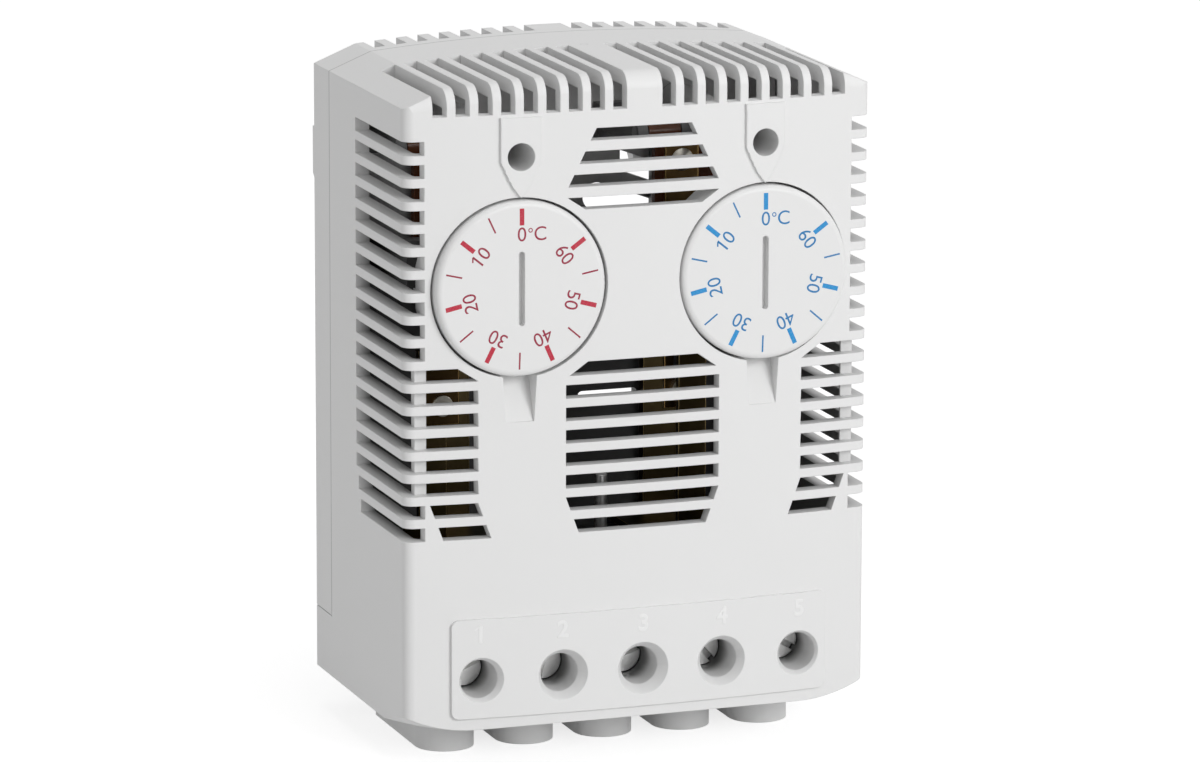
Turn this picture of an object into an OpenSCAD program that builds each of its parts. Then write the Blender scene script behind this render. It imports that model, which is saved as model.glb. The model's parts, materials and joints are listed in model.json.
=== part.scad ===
// Twin thermostat for a 35 mm mounting rail: louvred cover, two setting dials,
// two bimetal switches inside, five screw terminals below and a sprung rail clip behind.
// X runs to the right seen from the front, Y runs back towards the rail, Z runs up.
// The origin is the centre of the seat that rests on the rail.

/* [Housing] */
// Width of the housing
body_w = 50; // [48:0.5:54]
// Height of the housing, without the wire entries
body_h = 67; // [66:0.5:70]
// Depth of the housing from its back to the crown of the front
body_d = 31.2; // [30.6:0.2:33]
// Radius of the crowned front and of the crowned top
crown_r = 216; // [180:4:320]
// Radius of the upright front corners
corner_r = 1.2; // [0.9:0.1:1.4]
// Radius of the brow between the front and the top
brow_r = 1.8; // [1.4:0.1:2]
// Wall thickness of the cover
wall = 1.5; // [1.3:0.05:1.6]
// Depth of the rear base that shows behind the seam
base_d = 5.2; // [5:0.1:5.6]
// Wall thickness of the base
base_wall = 1.8; // [1.6:0.1:2]

/* [Louvres] */
// Pitch of the louvre rows
row_pitch = 2.325; // [2.28:0.01:2.36]
// Height of each louvre opening
row_gap = 1.4; // [1.1:0.05:1.5]
// Distance from the top of the housing down to the first louvre opening
row_drop = 6.1; // [5.7:0.1:6.5]
// Depth behind the front crown at which the side louvres end
row_depth = 17.25; // [16:0.25:18]
// Pitch of the slots in the top
slot_pitch = 2.34; // [2.3:0.01:2.38]
// Width of each slot in the top
slot_w = 1.45; // [1.2:0.05:1.55]

/* [Dials] */
// Place of the dial axes, as a share of the housing's half width
dial_share = 0.5232; // [0.52:0.0016:0.528]
// Distance from the top of the housing down to the dial axes
dial_drop = 21.4; // [21.2:0.1:21.6]
// Radius of the dials
dial_r = 9; // [8.6:0.05:9.05]
// Length of the screwdriver slot in a dial
dial_slot_l = 7.6; // [6.5:0.1:8.5]

/* [Terminals] */
// Distance from each side of the housing to the outer terminals' axes
pole_edge = 7.7; // [7.4:0.1:8]
// Radius of the wire entries
wire_r = 1.7; // [1.5:0.05:1.75]
// Radius of the terminal screws' heads
head_r = 1.9; // [1.7:0.05:1.92]
// Travel of the clamping cages
cage_travel = 2.5; // [2:0.1:2.8]

/* [Rail foot] */
// Height of the mounting rail that the foot grips
rail_h = 35; // [34.6:0.1:35.4]
// Thickness of the rail's flanges
rail_t = 1; // [0.9:0.05:1.2]
// Distance from the back of the housing to the rail's face
foot_d = 11.2; // [10.8:0.2:12]
// Travel of the rail clip
clip_travel = 3; // [2.5:0.1:3.2]

/* [Hidden] */

$fn = 48;
arc_fn = 720;
over = 1;
joint_gap = 0.1;
running = 0.05;
press_gap = 0.02;

// Housing
shoulder_w = 4.5;
shoulder_angle = 22;
sill_rise = 0.2;
sill_tilt = 14;
sill_r = 16;
sill_end = 7.5;
tongue_h = 6.5;
lip_d = 2;
lip_t = 0.9;
shell_gap = 0.1;

// Louvres
row_foot = 6.5;
split_first = 10;
slot_edge = 3.3;
first_slot_x = 2.62;
slot_foot = 3.7;
slot_d = 17.6;
comb_w = 1.2;
comb_d = 3.6;
corner_reach = 2.1;
split_reach = 1.35;
bar_w = 1.25;
side_vent_inset = 4.36;
vent_slant = 0.37;
vent_draft = 0.05;
lower_vent_inset = 4.83;
upper_vent_rows = 4;
upper_vent_pitch = 2.33;
upper_vent_gap = 1.25;
upper_vent_drop = 5.5;
upper_vent_inset = 7.98;
upper_vent_slope = 0.5;

// Dial, its recess and bearing, and the thumb groove below it
dial_proud = 0.54;
dial_t = 2.8;
dial_edge = 0.6;
dial_slot_w = 0.65;
dial_slot_d = 0.9;
recess_gap = 0.25;
recess_clear = 0.3;
recess_floor_t = 1.2;
pan_wall = 0.8;
bearing_r = 3.4;
bearing_l = 2.2;
spindle_r = 2;
collar_r = 3.3;
collar_t = 0.9;
socket_d = 1.5;
groove_w = 3.5;
groove_low_w = 2.8;
groove_l = 4.5;
groove_low_d = 0.5;
groove_pad = 1.2;

// Pointer tabs and the cover screws in them
raise = 0.35;
tab_w = 4.2;
tab_drop = 4;
tab_side_l = 4.3;
tab_point_l = 4;
tab_leaf_r = 12.9;
tab_hole_r = 1.42;
tab_hole_drop = 8;
tube_wall = 1.08;
tube_l = 10.6;
tube_floor = 1.2;
post_r = 2;
cover_screw_r = 0.7;
cover_head_r = 1.25;
cover_head_t = 1.2;
cover_screw_l = 9;

// Terminal panel and screw guides
panel_edge = 4.7;
panel_rise = 1.3;
panel_h = 10.35;
panel_r = 0.8;
pole_count = 5;
pole_rise = 5.3;
guide_wall = 1;
guide_mouth_r = 2.73;
guide_mouth_d = 1.3;

// Terminal block, cages, screws and busbars
block_edge = 4.4;
block_inset = 7.5;
block_h = 11.6;
block_floor_t = 0.9;
block_wall = 0.9;
chamber_wall = 1.6;
chamber_back_t = 3;
spout_gap = 2.45;
spout_drop = 4.4;
spout_inset = 12.2;
spout_back_t = 4;
mouth_d = 1.2;
bar_t = 0.8;
bar_inset = 7.9;
bar_rise = 1.4;
bar_pin_l = 7.4;
bar_pin_x = 1.2;
bar_pin_r = 0.6;
screw_inset = 1.6;
screw_head_t = 1.5;
screw_turns = [25, 75, 18, -50, -30];
screw_r = 1.25;
driver_w = 0.6;
driver_d = 0.9;
cage_gap = 0.3;
cage_slack = 0.7;
bar_side_gap = 0.525;
cage_h = 5;
cage_l = 9.2;
cage_wall = 0.8;
cage_front_wall = 1.4;
rib_t = 1.6;

// Switch units: sideways places are measured from the dial axis
carrier_d = 16.9;
carrier_t = 1;
pivot_rise = 11.9;
pin_r = 0.75;
knuckle_r = 1.3;
unit_gap = 1.42;
knuckle_right = -3.3;
ear_right = -2.3;
plate_inset = 2.1;
plate_right = 1.6;
plate_drop = 4.1;
strip_side = 3.1;
strip_right = -1.3;
strip_t = 0.5;
strip_inset = 1.2;
strip_drop = 17.1;
rivet_inset = 2.8;
rivet_r = 0.6;
contact_drop = 15.1;
contact_r = 1.2;
contact_t = 0.8;
contact_gap = 1.05;
head_t = 0.3;
magnet_w = 3;
magnet_h = 2.4;
magnet_rise = 4;
rail_w = 3;
leg_t = 1.1;
leg_right = 2.9;
leg_rise = 1.3;
bridge_h = 6;
bridge_t = 2;
bridge_inset = 3.9;
plunger_w = 4.4;
plunger_t = 3;
plunger_inset = 1.5;
plunger_bore_l = 2;
tip_r = 0.8;
spindle_pin_r = 1.2;
frame_plate_t = 1.5;
frame_plate_x = -1.8;
frame_bar_shift = 0.9;
frame_drop = 7.1;

// Rail foot, clip and spring
cheek_t = 2;
cheek_inset = 6.3;
foot_bar_t = 1.4;
relief_d = 0.4;
foot_high = 4;
foot_low = 4.5;
hook_w = 6;
hook_t = 1.95;
hook_grip = 2;
grip_gap = 0.15;
clip_w = 12;
clip_t = 2.4;
clip_inset = 1.2;
clip_top_z = 2;
clip_foot_t = 2.9;
clip_tab_l = 8.5;
eye_w = 3.6;
eye_h = 1.2;
guide_h = 12.2;
guide_rib_t = 2;
guide_lip_t = 1;
shelf_t = 1.5;
shelf_w = 6;
shelf_z = -13.5;
spring_slack = 0.4;
spring_r = 1.7;
spring_wire_r = 0.3;
spring_turns = 6;
end_turns = 0.75;
spring_inset = 6.4;
ring_sides = 8;
rings_per_turn = 16;

// Vents through the back wall as shares of the housing's half size: a slanting window by its ends,
// upper corner, fall and height, a round-ended slot and a level slot by their middle, length and width
back_vent_r = 0.5;
back_vent_slope = 20;
back_window_shares = [0.322, 0.572, 0.596, 0.07, 0.067];
back_slot_shares = [0.3776, 0.4084, 0.464, 0.0896];
back_level_shares = [0.27, -0.1925, 0.268, 0.0448];

// Planes of the housing
back_y = -foot_d;
floor_y = back_y - base_wall;
seam_y = back_y - base_d;
front_y = back_y - body_d;
inner_front_y = front_y + wall;
top_z = body_h / 2;
bottom_z = -body_h / 2;
inner_top_z = top_z - wall;
inner_bottom_z = bottom_z + wall;
inner_w = body_w - 2 * wall;
tongue_z = bottom_z + tongue_h;
row_top = top_z - row_drop;
slot_rear_y = front_y + slot_d;
upper_vent_top = top_z - upper_vent_drop;
panel_low = bottom_z + panel_rise;
rows = floor((row_top - panel_low - panel_h - row_foot) / row_pitch);
split_last = rows - 3;
slot_count = floor((body_w / 2 - first_slot_x - slot_edge) / slot_pitch) + 1;
comb_count = slot_count - 1;

// Places on the front
dial_x = dial_share * body_w / 2;
dial_z = top_z - dial_drop;
dial_front_y = front_y + dial_x * dial_x / (2 * crown_r) - dial_proud;
recess_floor_y = dial_front_y + dial_t + recess_clear;
recess_back_y = recess_floor_y + recess_floor_t;
recess_r = dial_r + recess_gap;
anchor_y = inner_front_y - shell_gap;
groove_top_z = dial_z - recess_r;
tab_top = top_z - tab_drop;
tab_shoulder = tab_top - tab_side_l;
tab_tip = tab_shoulder - tab_point_l;
tab_hole_z = top_z - tab_hole_drop;
tube_end_y = front_y + tube_l;
upper_vent_half = dial_x - upper_vent_inset;
lower_vent_half = dial_x - lower_vent_inset;
panel_w = body_w - 2 * panel_edge;
pole_pitch = (body_w - 2 * pole_edge) / (pole_count - 1);
pole_z = bottom_z + pole_rise;
guide_r = head_r + joint_gap;

// Places in the terminals
block_w = (pole_count - 1) * pole_pitch + 2 * block_edge;
chamber_w = pole_pitch - chamber_wall;
cage_w = chamber_w - 2 * cage_gap;
pole_bar_w = cage_w - 2 * cage_wall - 2 * bar_side_gap;
spout_w = pole_pitch - spout_gap;
mouth_r = wire_r / 2 + spout_w / 4;
cage_inset = block_wall + cage_travel + cage_slack;
block_front_y = front_y + block_inset;
block_low_z = inner_bottom_z + joint_gap;
block_floor_z = block_low_z + block_floor_t;
block_top_z = block_low_z + block_h;
chamber_back_y = floor_y - chamber_back_t;
spout_front_y = front_y + spout_inset;
spout_back_y = floor_y - spout_back_t;
bar_y = block_front_y + bar_inset;
bar_low_z = block_low_z + block_floor_t / 2 + running;
bar_turn_z = block_top_z + bar_rise;
pole_bar_x = pole_bar_w / 2;
screw_front_y = block_front_y - screw_inset;
cage_front_y = block_front_y + cage_inset;
cage_back_y = cage_front_y + cage_l;
wire_y = bar_y + bar_t + wire_r + joint_gap;

// Places in the switch units
unit_left = dial_x + unit_gap + lip_t + shell_gap + wall - body_w / 2;
knuckle_x = [unit_left + leg_t + joint_gap, knuckle_right];
ear_x = [[unit_left, unit_left + leg_t], [knuckle_right + joint_gap, ear_right]];
plate_x = [unit_left + plate_inset, plate_right];
strip_x = [unit_left + strip_side, strip_right];
leg_x = [unit_left, leg_right];
carrier_y = front_y + carrier_d;
pivot_z = dial_z + pivot_rise;
plate_low_z = dial_z - plate_drop;
strip_y = carrier_y - carrier_t / 2 - strip_t;
strip_mid = (strip_x[0] + strip_x[1]) / 2;
strip_top_z = pivot_z - strip_inset;
strip_root_z = strip_top_z - strip_t / 2;
strip_low_z = dial_z - strip_drop;
rivet_z = pivot_z - rivet_inset;
contact_z = dial_z - contact_drop;
magnet_z = contact_z + magnet_rise;
bridge_y = carrier_y - carrier_t / 2 - bridge_inset;
plunger_front_y = bridge_y - plunger_inset;
frame_low_z = dial_z - frame_drop;
heating_rail_y = strip_y + strip_t + 2 * contact_t + contact_gap;
cooling_rail_y = strip_y - 2 * contact_t - contact_gap - bar_t;

// Places on the rail foot
cheek_x = body_w / 2 - cheek_inset;
foot_top_z = rail_h / 2 + foot_high;
foot_low_z = -rail_h / 2 - foot_low;
guide_top_z = foot_low_z + guide_h;
clip_y = -clip_inset;
clip_low_z = -rail_h / 2 - grip_gap - clip_foot_t;
guide_low_z = clip_low_z + clip_foot_t + 2 * joint_gap;
clip_shelf_z = shelf_z + shelf_t + 2 * spring_turns * spring_wire_r + 2 * clip_travel + spring_slack;
spring_y = -spring_inset;
spring_low = shelf_z + shelf_t + spring_wire_r + running;
spring_high = clip_shelf_z - spring_wire_r - running;
ring_count = spring_turns * rings_per_turn + 1;

function row_z(k) = row_top - k * row_pitch;
function pole_x(i) = (i - (pole_count - 1) / 2) * pole_pitch;

// Housing form

// Plan outline: straight sides, round corners and a crowned front
module plan_outline(w, y_front, y_back, r_front, r_corner) {
    centre_y = y_front + r_front;
    corner_x = w / 2 - r_corner;
    span = r_front - r_corner;
    corner_y = centre_y - sqrt(span * span - corner_x * corner_x);
    tip_x = corner_x * (r_front + r_corner) / span;
    tip_y = centre_y + (corner_y - centre_y) * (r_front + r_corner) / span;
    translate([-w / 2, corner_y]) square([w, y_back - corner_y]);
    for (side = [-1, 1]) translate([side * corner_x, corner_y]) circle(r_corner);
    intersection() {
        translate([0, centre_y]) circle(r_front, $fn = arc_fn);
        polygon([
            [-corner_x, corner_y + r_corner], [-corner_x, corner_y], [-tip_x, tip_y],
            [-tip_x, y_front - over], [tip_x, y_front - over],
            [tip_x, tip_y], [corner_x, corner_y], [corner_x, corner_y + r_corner]
        ]);
    }
}

// Face outline: flat foot, straight sides, crowned top with sloped shoulders
module face_outline(w, z_low, z_high) {
    shoulder_x = w / 2 - shoulder_w;
    shoulder_z = z_high - crown_r + sqrt(crown_r * crown_r - shoulder_x * shoulder_x);
    fall = (shoulder_w + over) * tan(shoulder_angle);
    difference() {
        intersection() {
            translate([0, z_high - crown_r]) circle(crown_r, $fn = arc_fn);
            translate([-w / 2, z_low]) square([w, z_high - z_low + over]);
        }
        for (side = [-1, 1]) polygon([
            [side * shoulder_x, shoulder_z], [side * (w / 2 + over), shoulder_z - fall],
            [side * (w / 2 + over), z_high + over], [side * shoulder_x, z_high + over]
        ]);
    }
}

module housing_form(w, y_front, y_back, z_low, z_high, r_front, r_corner) {
    intersection() {
        translate([0, 0, z_low - over]) linear_extrude(z_high - z_low + 2 * over)
            plan_outline(w, y_front, y_back, r_front, r_corner);
        translate([0, y_back + over, 0]) rotate([90, 0, 0]) linear_extrude(y_back - y_front + 3 * over)
            face_outline(w, z_low, z_high);
    }
}

// Revolved wedge with a round nose, which softens the edge between front and top
module brow_form() {
    tip = crown_r / sqrt(2);
    nose = tip - brow_r * sqrt(2);
    spread = 37;
    nose_x = nose + brow_r * cos(spread);
    nose_y = brow_r * sin(spread);
    heel = nose_y + nose_x / tan(spread);
    translate([0, front_y, top_z]) rotate([-45, 0, 0]) translate([0, tip, 0])
        rotate_extrude($fn = arc_fn) {
            polygon([[0, -heel], [nose_x, -nose_y], [nose_x, nose_y], [0, heel]]);
            difference() {
                translate([nose, 0]) circle(brow_r);
                translate([0, -brow_r - over]) square([nose, 2 * brow_r + 2 * over]);
            }
        }
}

// Tilted prism whose arched underside trims the lower front edge
module sill_form() {
    flat = body_w / 2 - sill_end;
    translate([0, front_y, bottom_z + sill_rise]) rotate([90 - sill_tilt, 0, 0])
        translate([0, 0, -2 * body_d]) linear_extrude(4 * body_d) {
            translate([-flat, 0]) square([2 * flat, 2 * body_h]);
            for (side = [-1, 1]) translate([side * flat, sill_r]) circle(sill_r, $fn = 96);
            translate([-body_w, sill_r]) square([2 * body_w, 2 * body_h]);
        }
}

module outer_form() {
    intersection() {
        housing_form(body_w, front_y, back_y, bottom_z, top_z, crown_r, corner_r);
        brow_form();
        sill_form();
    }
}

module at_units() {
    for (side = [-1, 1]) translate([side * dial_x, 0, 0]) children();
}

module at_poles() {
    for (i = [0:pole_count - 1]) translate([pole_x(i), 0, 0]) children();
}

// Cylinder from y0 back to y1 about the axis at the given height
module rod_y(r, y0, y1, z, x = 0) {
    translate([x, y1, z]) rotate([90, 0, 0]) cylinder(h = y1 - y0, r = r);
}

// Block between two opposite corners
module block(a, b) {
    translate(a) cube([b[0] - a[0], b[1] - a[1], b[2] - a[2]]);
}

// Outline drawn in x and z, running from y0 back to y1
module plate_y(y0, y1) {
    translate([0, y1, 0]) rotate([90, 0, 0]) linear_extrude(y1 - y0) children();
}

module round_box(w, h, r) {
    square([w - 2 * r, h], center = true);
    square([w, h - 2 * r], center = true);
    for (sx = [-1, 1], sz = [-1, 1]) translate([sx * (w / 2 - r), sz * (h / 2 - r)]) circle(r, $fn = 24);
}

// Cover

// Side louvres that wrap round the front corners
module corner_louvres() {
    for (k = [0:rows - 1], side = [-1, 1]) {
        reach = k >= split_first && k <= split_last ? split_reach : corner_reach;
        shorten = max(0, k - split_last) * slot_w / 2;
        x0 = side > 0 ? body_w / 2 - reach : -body_w / 2 - over;
        block([x0, front_y - over, row_z(k) - row_gap],
            [x0 + reach + over, front_y + row_depth - shorten, row_z(k)]);
    }
}

// Lower louvres on the front beside the corner bars
module side_vents() {
    outer = body_w / 2 - split_reach - bar_w;
    inner = dial_x + side_vent_inset;
    for (k = [split_first:rows - 1], side = [-1, 1]) {
        high = row_z(k);
        low = high - row_gap;
        slip = max(0, k - split_last - 1) * row_pitch * vent_slant;
        foot = k > split_last ? slip + row_gap * vent_slant : vent_draft;
        cut = k == split_first ? 2 * row_gap : 0;
        plate_y(front_y - over, inner_front_y + 2 * over) polygon([
            [side * (outer - slip), high], [side * (inner - slip + cut * 3 / 4), high],
            [side * (inner - foot), low], [side * (outer - (k > split_last ? foot : 0)), low]
        ]);
    }
}

// Vent in the middle of the front, below the dials
module lower_vent() {
    half = lower_vent_half;
    for (k = [split_first:rows - 1]) {
        high = row_z(k);
        low = high - row_gap;
        first = k == split_first;
        slip = max(0, k - split_last - 1) * row_pitch * vent_slant;
        foot = k > split_last ? slip + row_gap * vent_slant : 0;
        top_half = first ? half - 2 * row_gap * 5 / 6 : half - slip;
        low_half = first ? half - row_gap / 4 : half - foot;
        plate_y(front_y - over, inner_front_y + over) polygon([
            [-top_half, high], [top_half, high], [low_half, low], [-low_half, low]
        ]);
    }
}

// Four tapering openings between the pointer tabs
module upper_vent() {
    for (k = [0:upper_vent_rows - 1]) {
        high = upper_vent_top - k * upper_vent_pitch;
        low = high - upper_vent_gap;
        last = k == upper_vent_rows - 1;
        top_half = upper_vent_half + k * upper_vent_pitch * upper_vent_slope - (last ? slot_w / 3 : 0);
        low_half = last ? top_half - 3 * upper_vent_gap / 2
            : upper_vent_half + (k * upper_vent_pitch + upper_vent_gap) * upper_vent_slope;
        plate_y(front_y - over, inner_front_y + over) polygon([
            [-top_half, high], [top_half, high], [low_half, low], [-low_half, low]
        ]);
    }
}

module top_slots() {
    for (i = [0:slot_count - 1], side = [-1, 1]) {
        x = side * (first_slot_x + i * slot_pitch);
        block([x - slot_w / 2, front_y - over, top_z - slot_foot],
            [x + slot_w / 2, slot_rear_y, top_z + over]);
    }
}

// Disc whose rim is one bowed side of a pointer tab's lower end
module leaf_side(side) {
    half = tab_w / 2;
    chord = sqrt(half * half + tab_point_l * tab_point_l);
    rise = sqrt(tab_leaf_r * tab_leaf_r - chord * chord / 4);
    translate([
        side * (half / 2 - rise * tab_point_l / chord), tab_tip + tab_point_l / 2 + rise * half / chord
    ]) circle(tab_leaf_r, $fn = 180);
}

// Pointer tab: straight above, and two slightly bowed sides that meet in a point below
module tab_outline() {
    translate([-tab_w / 2, tab_shoulder]) square([tab_w, tab_side_l]);
    intersection() {
        translate([-tab_w / 2, tab_tip]) square([tab_w, tab_point_l + tab_side_l / 2]);
        leaf_side(-1);
        leaf_side(1);
    }
}

// What stands proud of the front: pointer tabs and the terminal panel
module raised_fields() {
    intersection() {
        translate([0, 0, bottom_z]) linear_extrude(body_h)
            plan_outline(body_w, front_y - raise, inner_front_y - wall / 5, crown_r + raise, corner_r);
        plate_y(front_y - over, inner_front_y) {
            for (side = [-1, 1]) translate([side * dial_x, 0]) tab_outline();
            translate([0, panel_low + panel_h / 2]) round_box(panel_w, panel_h, panel_r);
        }
    }
}

// Sloping groove for a fingernail below a dial, narrower at its foot
module groove_cut() {
    foot_z = groove_top_z - groove_l;
    head_z = groove_top_z + over;
    intersection() {
        translate([groove_w, 0, 0]) rotate([90, 0, -90]) linear_extrude(2 * groove_w) polygon([
            [-front_y + over, foot_z], [-front_y - groove_low_d, foot_z],
            [-recess_floor_y, groove_top_z], [-recess_floor_y, head_z], [-front_y + over, head_z]
        ]);
        plate_y(front_y - 2 * over, recess_floor_y + over) polygon([
            [-groove_low_w / 2, foot_z - over], [groove_low_w / 2, foot_z - over],
            [groove_w / 2, groove_top_z], [groove_w / 2, head_z],
            [-groove_w / 2, head_z], [-groove_w / 2, groove_top_z]
        ]);
    }
}

module cover() {
    color("gainsboro") difference() {
        union() {
            difference() {
                outer_form();
                housing_form(inner_w, inner_front_y, back_y + over, inner_bottom_z, inner_top_z,
                    crown_r - wall, corner_r / 2);
                block([-body_w, seam_y, tongue_z], [body_w, back_y + over, top_z + over]);
            }
            raised_fields();
            at_units() {
                rod_y(recess_r + pan_wall, anchor_y, recess_back_y, dial_z);
                rod_y(bearing_r, recess_floor_y, recess_back_y + bearing_l, dial_z);
                rod_y(tab_hole_r + tube_wall, anchor_y, tube_end_y, tab_hole_z);
                block([-groove_w / 2 - groove_pad, anchor_y, groove_top_z - groove_l - groove_pad],
                    [groove_w / 2 + groove_pad, recess_back_y, groove_top_z]);
            }
            at_poles() rod_y(guide_r + guide_wall, anchor_y, block_front_y - shell_gap, pole_z);
        }
        at_units() {
            rod_y(recess_r, front_y - over, recess_floor_y, dial_z);
            rod_y(spindle_r + running, recess_floor_y - over, block_front_y + 2 * over, dial_z);
            rod_y(tab_hole_r, front_y - over, tube_end_y - tube_floor, tab_hole_z);
            rod_y(cover_screw_r + running, front_y, tube_end_y + over, tab_hole_z);
            groove_cut();
        }
        at_poles() {
            rod_y(guide_r, front_y - over, block_front_y, pole_z);
            translate([0, front_y - raise, pole_z]) rotate([-90, 0, 0])
                cylinder(h = guide_mouth_d, r1 = guide_mouth_r, r2 = guide_r);
        }
        spout_slots();
        corner_louvres();
        side_vents();
        lower_vent();
        upper_vent();
        top_slots();
    }
}

// Slots in the cover's underside, open to the back, that pass the wire entries
module spout_slots() {
    half = spout_w / 2 + joint_gap;
    at_poles() {
        translate([0, spout_front_y, bottom_z - over]) cylinder(h = wall + 2 * over, r = half);
        block([-half, spout_front_y, bottom_z - over], [half, back_y + over, inner_bottom_z + over]);
    }
}

module cover_screws() {
    color("silver") at_units() {
        head_y = tube_end_y - tube_floor;
        difference() {
            rod_y(cover_head_r, head_y - cover_head_t, head_y, tab_hole_z);
            block([-driver_w / 2, head_y - cover_head_t - over, tab_hole_z - tab_hole_r],
                [driver_w / 2, head_y - cover_head_t / 2, tab_hole_z + tab_hole_r]);
        }
        rod_y(cover_screw_r, head_y, head_y + cover_screw_l, tab_hole_z);
    }
}

// Base

module back_vent_cuts() {
    half_w = body_w / 2;
    half_h = body_h / 2;
    a = back_window_shares;
    b = back_slot_shares;
    c = back_level_shares;
    slot = b[3] * half_h;
    plate_y(floor_y - over, back_y + over) for (side = [-1, 1]) {
        polygon([
            [side * a[0] * half_w, a[2] * half_h], [side * a[1] * half_w, (a[2] - a[3]) * half_h],
            [side * a[1] * half_w, (a[2] - a[3] - a[4]) * half_h],
            [side * a[0] * half_w, (a[2] - a[4]) * half_h]
        ]);
        translate([side * b[0] * half_w, b[1] * half_h]) rotate(-side * back_vent_slope) {
            square([b[2] * half_w - slot, slot], center = true);
            for (end = [-1, 1]) translate([end * (b[2] * half_w - slot) / 2, 0]) circle(slot / 2);
        }
        translate([side * c[0] * half_w, c[1] * half_h])
            round_box(c[2] * half_w, c[3] * half_h, back_vent_r);
    }
}

module base_shell() {
    lip = wall + shell_gap;
    difference() {
        union() {
            intersection() {
                housing_form(body_w, front_y, back_y, bottom_z, top_z, crown_r, corner_r);
                block([-body_w, seam_y, tongue_z + shell_gap], [body_w, back_y, top_z + over]);
            }
            intersection() {
                housing_form(body_w - 2 * lip, front_y, back_y, bottom_z, top_z - lip, crown_r, corner_r);
                block([-body_w, seam_y - lip_d, tongue_z + shell_gap], [body_w, back_y, top_z + over]);
            }
            block([-body_w / 2 + lip, floor_y, inner_bottom_z + shell_gap],
                [body_w / 2 - lip, back_y, tongue_z + 2 * shell_gap]);
        }
        housing_form(body_w - 2 * lip - 2 * lip_t, front_y, floor_y, bottom_z - over, top_z - lip - lip_t,
            crown_r, corner_r);
        for (i = [0:comb_count - 1], side = [-1, 1]) {
            x = side * (first_slot_x + i * slot_pitch);
            block([x - comb_w / 2, back_y - comb_d, inner_top_z - base_wall],
                [x + comb_w / 2, back_y + over, top_z + over]);
        }
        back_vent_cuts();
    }
}

// Open foot behind the base: two cheeks with fixed hooks, guides and the spring shelf
module rail_foot() {
    root_y = back_y - base_wall / 2;
    hook_y = rail_t + grip_gap;
    hook_z = rail_h / 2 - hook_grip;
    for (side = [-1, 1]) {
        cheek_0 = side > 0 ? cheek_x : -cheek_x - cheek_t;
        hook_0 = side > 0 ? cheek_x + cheek_t - hook_w : -cheek_x - cheek_t;
        rib_0 = side > 0 ? clip_w / 2 + joint_gap : -clip_w / 2 - joint_gap - guide_rib_t;
        lip_0 = side > 0 ? clip_w / 2 - guide_lip_t : -clip_w / 2 - joint_gap - guide_rib_t / 2;
        lip_y = clip_y + joint_gap;
        block([cheek_0, root_y, foot_low_z], [cheek_0 + cheek_t, 0, hook_z - joint_gap]);
        block([cheek_0, root_y, hook_z - cheek_t], [cheek_0 + cheek_t, -relief_d, foot_top_z]);
        block([cheek_0, root_y, rail_h / 2 + grip_gap], [cheek_0 + cheek_t, 0, foot_top_z]);
        slab_x(hook_0, hook_0 + hook_w) polygon([
            [root_y, foot_top_z], [hook_y + hook_t, foot_top_z], [hook_y + hook_t, hook_z + hook_grip / 2],
            [hook_y + hook_t / 2, hook_z], [hook_y, hook_z], [hook_y, rail_h / 2 + grip_gap],
            [0, rail_h / 2 + grip_gap], [0, foot_top_z - cheek_t], [root_y, foot_top_z - cheek_t]
        ]);
        block([rib_0, root_y, foot_low_z], [rib_0 + guide_rib_t, lip_y + guide_lip_t, guide_top_z]);
        block([lip_0, lip_y, guide_low_z],
            [lip_0 + guide_lip_t + joint_gap + guide_rib_t / 2, lip_y + guide_lip_t, guide_top_z]);
    }
    block([-cheek_x, root_y, foot_top_z - foot_bar_t], [cheek_x, 0, foot_top_z]);
    block([-shelf_w / 2, root_y, shelf_z], [shelf_w / 2, clip_y - clip_t - shelf_t / 2, shelf_z + shelf_t]);
}

// Outline drawn in y and z, running from x0 to x1
module slab_x(x0, x1) {
    translate([x0, 0, 0]) rotate([90, 0, 90]) linear_extrude(x1 - x0) children();
}

module base() {
    color("lightgray") difference() {
        union() {
            base_shell();
            rail_foot();
            at_units() rod_y(post_r, tube_end_y + joint_gap, back_y - base_wall / 2, tab_hole_z);
        }
        at_units() rod_y(cover_screw_r + press_gap, tube_end_y, tube_end_y + cover_screw_l, tab_hole_z);
    }
}

// Dials

module dial() {
    hub = -dial_front_y - dial_t;
    translate([0, 0, dial_z]) difference() {
        translate([0, -hub, 0]) rotate([90, 0, 0]) rotate_extrude($fn = 96) {
            square([dial_r - dial_edge, dial_t]);
            square([dial_r, dial_t - dial_edge]);
            translate([dial_r - dial_edge, dial_t - dial_edge]) circle(dial_edge, $fn = 32);
        }
        rod_y(spindle_r + press_gap, -hub - socket_d, -hub + over, 0);
        half = dial_slot_l / 2 - dial_slot_w / 2;
        for (end = [-1, 1])
            rod_y(dial_slot_w / 2, dial_front_y - over, dial_front_y + dial_slot_d, end * half);
        block([-dial_slot_w / 2, dial_front_y - over, -half],
            [dial_slot_w / 2, dial_front_y + dial_slot_d, half]);
    }
}

module spindle() {
    front = dial_front_y + dial_t - socket_d + joint_gap;
    collar = recess_back_y + bearing_l + joint_gap;
    rod_y(spindle_r, front, plunger_front_y - plunger_t / 5, dial_z);
    rod_y(collar_r, collar, collar + collar_t, dial_z);
    rod_y(spindle_pin_r, plunger_front_y - plunger_t / 3, plunger_front_y + plunger_bore_l, dial_z);
}

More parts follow.
